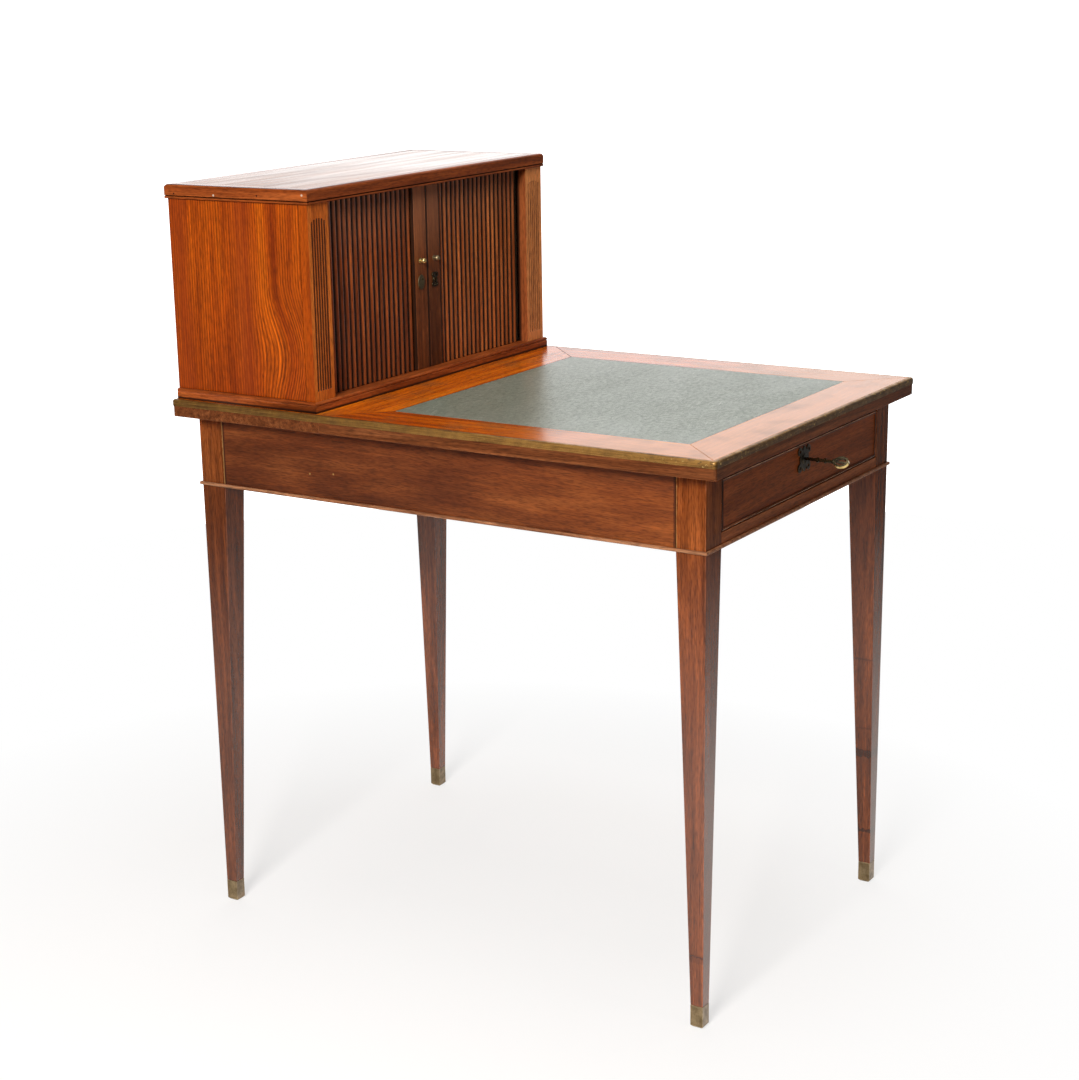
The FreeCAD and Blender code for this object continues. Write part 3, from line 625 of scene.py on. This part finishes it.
colour = mixed(tree, scaled(tree, mottle, 0.3, 0.7), hide_tone, faded_hide_tone)
colour = mixed(tree, scaled(tree, fleck, 0.55, 0.7, 0.0, 0.5), colour, scratch_tone)
colour = mixed(tree, scaled(tree, fleck, 0.46, 0.32, 0.0, 0.7), colour, stain_tone)
rubbed = scaled(tree, noise(tree, at, rubbed_size)["Fac"], 0.42, 0.62)
rubbed = summed(tree, "MAXIMUM", rubbed, scaled(tree, on_axis(tree, "Y"), *scratched_depths))
for turn in scratch_turns:
    strokes = node(tree, "ShaderNodeMapping", {"Vector": at, "Rotation": (0, 0, turn)}).outputs[0]
    scratch = scaled(tree, noise(tree, strokes, scratch_size, detail=1.0)["Fac"], 0.65, 0.72, 0.0, 0.7)
    colour = mixed(tree, summed(tree, "MULTIPLY", scratch, rubbed), colour, scratch_tone)
tree.links.new(colour, shader.inputs["Base Color"])
tree.links.new(scaled(tree, mottle, 0.3, 0.7, 0.38, 0.31), shader.inputs["Roughness"])
aside = summed(tree, "ABSOLUTE", on_axis(tree, "X"))
polish = scaled(tree, mottle, 0.35, 0.65, 0.5, 0.7)
for share in (scaled(tree, distance(tree, at, elbow_place), *elbow_reach, 0.7, 1.06),
              scaled(tree, cloud, 0.38, 0.62, 0.8, 1.18),
              scaled(tree, drift, 0.35, 0.65, 0.7, 1.32),
              scaled(tree, aside, *shiny_widths, 1.0, 1.5)):
    polish = summed(tree, "MULTIPLY", polish, share)
tree.links.new(polish, shader.inputs["Specular IOR Level"])
set_relief(tree, pebble, strength=0.2, depth=0.0003)
dressed("writing_leather", finish, arris=0.0005)

# Brass edging
# Four lengths of rounded brass, mitred and let into a rebate in the upper edge of the top. They are
# brown with age, and bright where hands have rubbed them.
# The faces to the front are painted darker, as shade.

edge_brass_tones = ((0.25, 0.12, 0.023), (0.38, 0.19, 0.042), (0.95, 0.72, 0.32))
front_painted_shade = 0.5
back_shade = (0.66, 0.64, 0.6)
browned_depths = (-0.1, 0.2)
streak_shade = (0.55, 0.5, 0.42)
streak_size = (0.06, 0.06, 0.0012)
chip_size = (0.006, 0.006, 0.0025)
chipped_depths = (-0.25, -0.4)
rubbed_tone = (0.7, 0.48, 0.16)
chip_tone = (0.04, 0.022, 0.006)


def edging_brass(name, shade):
    """Brass streaked along the edge, browner towards the back, chipped and rubbed towards the front."""
    brass = old_brass(name, shaded(edge_brass_tones, shade), rubbed=0.8, roughness=0.4, metal=0.45)
    tree = brass.node_tree
    at = surface(tree)
    streak = noise(tree, at, streak_size)["Fac"]
    tint(brass, scaled(tree, streak, 0.45, 0.62), streak_shade, blend="MULTIPLY")
    tint(brass, scaled(tree, on_axis(tree, "Y"), *browned_depths), back_shade, blend="MULTIPLY")
    chips = noise(tree, at, chip_size)["Fac"]
    handled = scaled(tree, on_axis(tree, "Y"), *chipped_depths, 0.1, 0.7)
    tint(brass, summed(tree, "MULTIPLY", scaled(tree, chips, 0.64, 0.7), handled), rubbed_tone)
    tint(brass, summed(tree, "MULTIPLY", scaled(tree, chips, 0.42, 0.34), handled), chip_tone)
    return brass


# Painted shade: the faces to the front take a darker copy of the brass.
edge_brasses = [edging_brass("edge_brass", 1.0), edging_brass("edge_brass_front_shaded", front_painted_shade)]
dressed("brass_edging", edge_brasses, arris=0.0004, choose=faces_front)

# Hutch base
# A mahogany board with a moulding mitred round its front and sides and glued to it; the tambour
# track is cut in its upper face. A painted shadow darkens the foot of the moulding, where it
# stands on the top.

hutch_tones = ((0.16, 0.03, 0.004), (0.25, 0.05, 0.008), (0.35, 0.08, 0.015))
foot_shadow_width = 0.0055
mitre_low, mitre_high = reach("hutch_lid_board")
dressed("hutch_base_board", mahogany("base_board_wood", "x", hutch_tones, 7.6), arris=0.0004)


def along_side(face):
    """Whether a face belongs to a strip that runs from front to back, by the line of the mitres."""
    x, y, z = face.calc_center_median()
    return int(abs(x) - mitre_high.x > max(mitre_low.y - y, y - mitre_high.y))


base_woods = [mahogany("base_moulding_" + grain, grain, hutch_tones, 8.1, figure=(0.12, 0.008))
              for grain in "xy"]
# Painted shadow along the foot of the moulding, where it meets the top.
for wood in base_woods:
    tint(wood, band(wood.node_tree, "Z", top_high.z, foot_shadow_width), scar_and_shade_tone, 0.95)
dressed("hutch_base_mouldings", base_woods, arris=0.0004, choose=along_side)

# Hutch sides
# Two boards of flame mahogany that stand on the base with the grain upright, the best wood on the
# piece. The grain swerves round an eye near the front, and two darker bands run up each board.
# Each board is painted darker towards its foot, as shade.

flame_tones = ((0.165, 0.018, 0.0008), (0.3, 0.047, 0.0012), (0.38, 0.07, 0.0018))
growth_rings = (0.62, 0.0043)
eye_depth = 0.23
eye_height = 0.836
eye_size = (0.5, 0.08, 0.1)
eye_swerve = 0.024
heart_tone = (0.2, 0.026, 0.004)
lower_shade_gain = (0.8, 0.72, 0.9)
lower_shade_heights = (0.94, 0.78)

# The place of each darker band, its width, the blur and raggedness of its edges, and its strength.
heart_bands = ((0.425, 0.022, 0.014, 0.005, 0.45), (0.312, 0.012, 0.02, 0.004, 0.5))

for k, side in enumerate(("left", "right")):
    side_low, side_high = reach("hutch_side_" + side)
    eye_place = ((side_low.x + side_high.x) / 2, eye_depth, eye_height)
    wood = mahogany("flame_wood_" + side, "z", flame_tones, 9.3 + 0.7 * k, figure=(0.6, 0.034), lines=0.25,
                    eye=(eye_place, eye_size, eye_swerve), grime=True, rings=growth_rings)
    tree = wood.node_tree
    # Painted shade: the board darkens towards its foot.
    tint(wood, scaled(tree, on_axis(tree, "Z"), *lower_shade_heights), lower_shade_gain, blend="MULTIPLY")
    for place, width, blur, ragged, strength in heart_bands:
        tint(wood, band(tree, "Y", place, width, blur, ragged), heart_tone, strength)
    dressed("hutch_side_" + side, wood, arris=0.0005)

# Hutch back, liners and shelf
# Plain oak boards, planed and never polished. The back stands between the sides, and the shelf is
# housed in the liners.

dressed("hutch_back", bare_oak("oak_back", "x", 1.3), arris=0.0006)
for name in ("hutch_liner_left", "hutch_liner_right"):
    dressed(name, bare_oak(name + "_oak", "z", 1.9), arris=0.0006)
dressed("hutch_shelf", bare_oak("oak_shelf", "x", 2.6), arris=0.0006)

# Pilasters
# Upright strips of mahogany on the front of the sides, each with six round-bottomed flutes that end
# on the line of an arch. The hollows of the flutes are painted darker, as shade, and the faces are
# painted lighter than the wood, the right one most, as light. The reveal by the door is brown, with
# painted shade at its back.

# The faces are painted lighter than their wood, the right one most, standing in for light they lack.
pilaster_tones = {
    "left": ((0.42, 0.085, 0.009), (0.53, 0.12, 0.014), (0.62, 0.16, 0.022)),
    "right": ((0.6, 0.2, 0.055), (0.7, 0.245, 0.07), (0.8, 0.29, 0.085)),
}
# Painted shade: the hollows of the flutes take darker copies of the face's tones.
flute_painted_shade = {"left": 0.14, "right": 0.46}
reveal_tones = ((0.2, 0.045, 0.011), (0.26, 0.064, 0.016), (0.33, 0.09, 0.023))
reveal_painted_shade = (0.2085, 0.2115)
flute_depth = 0.002
inner_margin = 0.003
outer_margin = 0.0025
side_skin = 0.0005
face_skin = 0.0001
pilaster_low, pilaster_high = reach("hutch_pilaster_right")


def pilaster_part(face):
    """The face of a pilaster, the hollows of its flutes, its outer side, and its reveal by the door."""
    x, y, z = face.calc_center_median()
    inwards = pilaster_high.x - abs(x)
    if inwards < side_skin:
        return 2
    if abs(x) < pilaster_low.x + inner_margin and abs(face.normal.x) > 0.7:
        return 3
    behind = face_skin < y - pilaster_low.y < flute_depth
    return int(behind and abs(x) > pilaster_low.x + inner_margin and inwards > outer_margin)


for k, side in enumerate(("left", "right")):
    seed = 11.2 + 0.6 * k
    tones = pilaster_tones[side]
    flute_shade_tones = shaded(tones, flute_painted_shade[side])
    reveal_wood = mahogany("reveal_wood_" + side, "z", reveal_tones, seed, figure=(0.3, 0.012), lines=0.2,
                           bare=0.0)
    tree = reveal_wood.node_tree
    # Painted shade at the back of the reveal, next to the tambour.
    tint(reveal_wood, scaled(tree, on_axis(tree, "Y"), *reveal_painted_shade), scar_and_shade_tone, 0.95)
    woods = [
        mahogany("pilaster_wood_" + side, "z", tones, seed, figure=(0.3, 0.012), lines=0.1, bare=0.3),
        mahogany("flute_shade_wood_" + side, "z", flute_shade_tones, seed, figure=(0.3, 0.012), lines=0.1, bare=0.0),
        mahogany("pilaster_side_wood_" + side, "z", flame_tones, seed, figure=(0.3, 0.03), bare=0.3),
        reveal_wood,
    ]
    dressed("hutch_pilaster_" + side, woods, arris=0.0002, choose=pilaster_part)

# Lid
# A mahogany board with a rounded edging mitred all round it and pinned. The board is polished
# bright, most of all on the right.

lid_tones = ((0.165, 0.048, 0.011), (0.255, 0.08, 0.02), (0.345, 0.115, 0.032))
lid_seed = 13.1
lid_polish_widths = (-0.29, 0.2)
lid_rough_widths = (-0.29, 0.1)
dull_size = (0.3, 0.02, 0.02)
wood = mahogany("lid_board_wood", "x", lid_tones, lid_seed, figure=(0.4, 0.02), lines=0.2, roughness=0.2,
                grime=True)
tree = wood.node_tree
shader = tree.nodes["Principled BSDF"]
dull = noise(tree, along_grain(tree, "x", lid_seed), dull_size, detail=3.0)["Fac"]
polish = summed(tree, "MULTIPLY", scaled(tree, on_axis(tree, "X"), *lid_polish_widths, 0.5, 0.64),
                scaled(tree, dull, 0.4, 0.7, 1.0, 0.8))
polish = summed(tree, "SUBTRACT", polish, arrises(tree))
tree.links.new(polish, shader.inputs["Specular IOR Level"])
rough = summed(tree, "ADD", scaled(tree, on_axis(tree, "X"), *lid_rough_widths, 0.26, 0.16),
               scaled(tree, dull, 0.35, 0.65, -0.04, 0.06))
tree.links.new(rough, shader.inputs["Roughness"])
dressed("hutch_lid_board", wood, arris=0.0004)

pin_tone = (0.5, 0.4, 0.3)
pin_radius = 0.0018
pin_hole_radius = 0.0016
lid_edge = reach("hutch_lid_edging")[0].x
pins = ((lid_edge, 0.3538, 1.0433), (lid_edge, 0.204, 1.0487))
pin_holes = ((lid_edge, 0.4237, 1.0432), (lid_edge, 0.2795, 1.0452))
lid_woods = [mahogany("lid_edging_" + grain, grain, hutch_tones, 13.9, figure=(0.2, 0.008), roughness=0.2,
                      specular=0.6, grime=True) for grain in "xy"]
for wood in lid_woods:
    for centre in pins:
        tint(wood, spot(wood.node_tree, centre, pin_radius), pin_tone)
    for centre in pin_holes:
        tint(wood, spot(wood.node_tree, centre, pin_hole_radius), scar_and_shade_tone)
dressed("hutch_lid_edging", lid_woods, arris=0.0004, choose=along_side)

# Tambour doors
# Half-round slats of mahogany glued to canvas, with a flat lead stile at the meeting edge and a rod
# at the tail, running in the tracks of base and lid. Shade is painted between the slats and along
# the edges of the leads; slats and leads are painted lighter at their heads and darker at their
# feet, and the left door is painted darker than the right.

# The left door's slats are painted darker than the right's, as shade; the right's are lighter and more
# orange, as light thrown up from the top.
slat_tones = {
    "left": ((0.3, 0.056, 0.0095), (0.45, 0.09, 0.016), (0.61, 0.142, 0.029)),
    "right": ((0.42, 0.094, 0.017), (0.6, 0.15, 0.031), (0.76, 0.22, 0.052)),
}
lead_tones = {
    "left": ((0.17, 0.042, 0.01), (0.24, 0.064, 0.016), (0.32, 0.094, 0.025)),
    "right": ((0.09, 0.021, 0.005), (0.13, 0.033, 0.008), (0.18, 0.05, 0.013)),
}
# Painted shade towards the foot of the slats, on the left door only.
foot_painted_shade = {"left": 0.35, "right": 0.0}
crevice_shade_tone = (0.016, 0.005, 0.0018)
head_light_tone = (0.5, 0.2, 0.1)
slat_pitch = 0.011405
slat_start = 0.0343
slat_spread = 0.4
slat_head_light_heights = (0.95, 1.04)
slat_foot_heights = (0.98, 0.8)
lead_head_light_heights = (0.93, 1.02)
lead_foot_heights = (0.93, 0.8)
lead_high = reach("tambour_lead_right")[1]
lead_edge = lead_high.x - 0.0005
lead_shade_line_width = 0.003
canvas_plane = lead_high.y
groove_shade_depths = (canvas_plane - 0.0062, canvas_plane - 0.0043)


def per_slat(finish):
    """Give each slat a tone of its own, from its place in the row, with painted shade down its sides."""
    tree = finish.node_tree
    count = summed(tree, "DIVIDE", summed(tree, "SUBTRACT", on_axis(tree, "X"), slat_start), slat_pitch)
    chance = node(tree, "ShaderNodeTexWhiteNoise", {"W": summed(tree, "FLOOR", count)},
                  noise_dimensions="1D").outputs["Value"]
    tint(finish, chance, scar_and_shade_tone, slat_spread)
    # Painted shade in the grooves between the slats, deepest at the canvas.
    tint(finish, scaled(tree, on_axis(tree, "Y"), *groove_shade_depths), crevice_shade_tone, 0.97)


def on_canvas(face):
    return int(face.calc_center_median().y > canvas_plane - face_skin)


weave_size = (0.0012, 0.0012, 0.0012)
stain_size = (0.03, 0.03, 0.03)
hemp_tones = ((0.07, 0.05, 0.03), (0.19, 0.14, 0.085))
damp_tone = (0.05, 0.032, 0.018)
canvas, tree, shader = blank_finish("canvas")
at = surface(tree)
weave = noise(tree, at, weave_size)["Fac"]
stain = noise(tree, at, stain_size, detail=4.0)["Fac"]
colour = mixed(tree, weave, *hemp_tones)
colour = mixed(tree, scaled(tree, stain, 0.45, 0.7, 0.0, 0.6), colour, damp_tone)
tree.links.new(colour, shader.inputs["Base Color"])
shader.inputs["Roughness"].default_value = 0.9
set_relief(tree, weave, strength=0.4, depth=0.0003)

for k, side in enumerate(("left", "right")):
    wood = mahogany("slat_wood_" + side, "z", slat_tones[side], 15.2 + 0.8 * k, figure=(0.15, 0.006),
                    roughness=0.3, specular=0.35, bare=0.2)
    tree = wood.node_tree
    # Painted light: the slats are lighter towards their heads, under the lid.
    tint(wood, scaled(tree, on_axis(tree, "Z"), *slat_head_light_heights), head_light_tone, 0.6)
    # Painted shade: the slats darken towards their feet.
    tint(wood, scaled(tree, on_axis(tree, "Z"), *slat_foot_heights), scar_and_shade_tone, foot_painted_shade[side])
    per_slat(wood)
    for name in ("tambour_inner_leaf_", "tambour_outer_leaf_"):
        dressed(name + side, [wood, canvas], arris=0.0002, choose=on_canvas)
    dressed("tambour_tail_" + side, wood, arris=0.0002)
    wood = mahogany("lead_wood_" + side, "z", lead_tones[side], 17.2 + 0.8 * k, figure=(0.2, 0.01),
                    lines=0.3, bare=0.5)
    tree = wood.node_tree
    # Painted light: the lead is lighter towards its head, under the lid.
    tint(wood, scaled(tree, on_axis(tree, "Z"), *lead_head_light_heights), head_light_tone, 0.45)
    # Painted shade: the lead darkens towards its foot.
    tint(wood, scaled(tree, on_axis(tree, "Z"), *lead_foot_heights), scar_and_shade_tone, 0.5)
    # Painted shadow lines down the meeting edge and both edges of the lead.
    for place in (0.0, -lead_edge, lead_edge):
        tint(wood, band(tree, "X", place, lead_shade_line_width, blur=0.0016), crevice_shade_tone, 0.92)
    dressed("tambour_lead_" + side, wood, arris=0.0003)

# Knobs and small plates
# Turned brass knobs on the lead stiles, the left one polished by use; a plain oval plate and a
# pierced key plate lie flat on the stiles below them.

knob_tones = ((0.45, 0.32, 0.12), (0.72, 0.54, 0.22), (0.9, 0.72, 0.36))
oval_tones = ((0.06, 0.042, 0.018), (0.12, 0.088, 0.04), (0.3, 0.23, 0.11))
bright_brass = old_brass("bright_brass", knob_tones, roughness=0.22)
oval_bronze = old_brass("oval_bronze", oval_tones, rubbed=0.5, roughness=0.36, metal=0.5)
dressed("tambour_knob_left", bright_brass, arris=0.0002)
dressed("tambour_knob_right", sabot_brass, arris=0.0002)
dressed("tambour_oval_plate_left", oval_bronze, arris=0.0003)
dressed("tambour_escutcheon_right", dark_bronze, arris=0.0002)

# Floor
# A white sweep of paper that the table stands on. The camera sees it nearly white, with the shadow
# of the legs left on it.

floor_radius = 2.4
floor_tone = (0.95, 0.91, 0.87)
shadow_place = (-0.2, 0.1, 0.0)
shadow_reach = (0.5, 1.1)
shadow_white = 0.64
bm = bmesh.new()
bmesh.ops.create_circle(bm, cap_ends=True, segments=96, radius=floor_radius)
mesh = bpy.data.meshes.new("floor")
bm.to_mesh(mesh)
bm.free()
finish, tree, shader = blank_finish("floor_paper")
shader.inputs["Base Color"].default_value = opaque(floor_tone)
shader.inputs["Roughness"].default_value = 0.9
shader.inputs["Specular IOR Level"].default_value = 0.0
white = node(tree, "ShaderNodeEmission", {"Color": (1, 1, 1, 1), "Strength": 1.0})
seen = node(tree, "ShaderNodeLightPath", {}).outputs["Is Camera Ray"]
far = distance(tree, surface(tree), shadow_place)
share = summed(tree, "MULTIPLY", seen, scaled(tree, far, *shadow_reach, shadow_white, 1.0))
blend = node(tree, "ShaderNodeMixShader", {0: share, 1: shader.outputs[0], 2: white.outputs[0]})
tree.links.new(blend.outputs[0], tree.nodes["Material Output"].inputs["Surface"])
mesh.materials.append(finish)
floor = bpy.data.objects.new("floor", mesh)
bpy.context.scene.collection.objects.link(floor)

# Camera
# It stands at the height of a standing person's chest, to the front left of the table. The axis of
# its lens meets the picture a little to the left of the middle and below it.

image_height = 1080.0
image_middle = (539.5, 540.0)
lens_axis = (469.72, 568.08)
focal_pixels = 2133.66
sensor = 36.0
camera_place = (-2.50377, -1.53332, 1.32661)
yaw = math.radians(56.06)
pitch = math.radians(-15.67)
roll = math.radians(-1.41)
ahead = Vector((math.sin(yaw) * math.cos(pitch), math.cos(yaw) * math.cos(pitch), math.sin(pitch)))
level = Vector((math.cos(yaw), -math.sin(yaw), 0))
upright = level.cross(ahead)
right = level * math.cos(roll) + upright * math.sin(roll)
up = upright * math.cos(roll) - level * math.sin(roll)
camera = bpy.data.objects.new("camera", bpy.data.cameras.new("camera"))
bpy.context.scene.collection.objects.link(camera)
turn = Matrix((right, up, -ahead)).transposed().to_4x4()
camera.matrix_world = Matrix.Translation(camera_place) @ turn
camera.data.sensor_width = sensor
camera.data.lens = focal_pixels / image_height * sensor
camera.data.shift_x = (image_middle[0] - lens_axis[0]) / image_height
camera.data.shift_y = (lens_axis[1] - image_middle[1]) / image_height
camera.data.clip_end = 100
bpy.context.scene.camera = camera

# Light
# A large soft box on the left, a soft one overhead and a weak one in front; the paper behind the
# table is bright, and the rest of the room is dim. The camera sees white all round.

soft_boxes = {
    "key_light": {"place": (-3.3, -0.75, 2.5), "aim": (0, 0, 0.75), "size": (1.1, 1.1), "power": 165},
    "top_light": {"place": (0.1, 0.0, 3.7), "aim": (0, 0, 0.7), "size": (2.4, 2.4), "power": 45},
    "front_light": {"place": (-0.5, -3.6, 1.9), "aim": (0, 0, 0.8), "size": (1.0, 1.4), "power": 8},
}
for name, box in soft_boxes.items():
    lamp = bpy.data.lights.new(name, "AREA")
    lamp.shape = "RECTANGLE"
    lamp.size, lamp.size_y = box["size"]
    lamp.energy = box["power"]
    made = bpy.data.objects.new(name, lamp)
    bpy.context.scene.collection.objects.link(made)
    turn = (Vector(box["aim"]) - Vector(box["place"])).to_track_quat("-Z", "Y").to_matrix().to_4x4()
    made.matrix_world = Matrix.Translation(box["place"]) @ turn
    made.visible_camera = False

room_glow = 0.07
paper_glow = 1.75
paper_edge = (0.6, 0.88)
paper_rise = (0.16, 0.25)
high_share = 0.68
world = bpy.data.worlds.new("studio")
bpy.context.scene.world = world
world.use_nodes = True
tree = world.node_tree
ground = tree.nodes["Background"]
way = node(tree, "ShaderNodeTexCoord", {}).outputs["Generated"]
backdrop = node(tree, "ShaderNodeVectorMath", {0: way, 1: (math.sin(yaw), math.cos(yaw), 0)},
                operation="DOT_PRODUCT").outputs["Value"]
glow = scaled(tree, backdrop, *paper_edge, room_glow, paper_glow)
rise = node(tree, "ShaderNodeSeparateXYZ", {0: way}).outputs["Z"]
glow = summed(tree, "MULTIPLY", glow, scaled(tree, rise, *paper_rise, 1.0, high_share))
seen = node(tree, "ShaderNodeLightPath", {}).outputs["Is Camera Ray"]
ground.inputs["Color"].default_value = (1, 1, 1, 1)
tree.links.new(summed(tree, "MAXIMUM", glow, seen), ground.inputs["Strength"])

bpy.context.scene.view_settings.view_transform = "Standard"
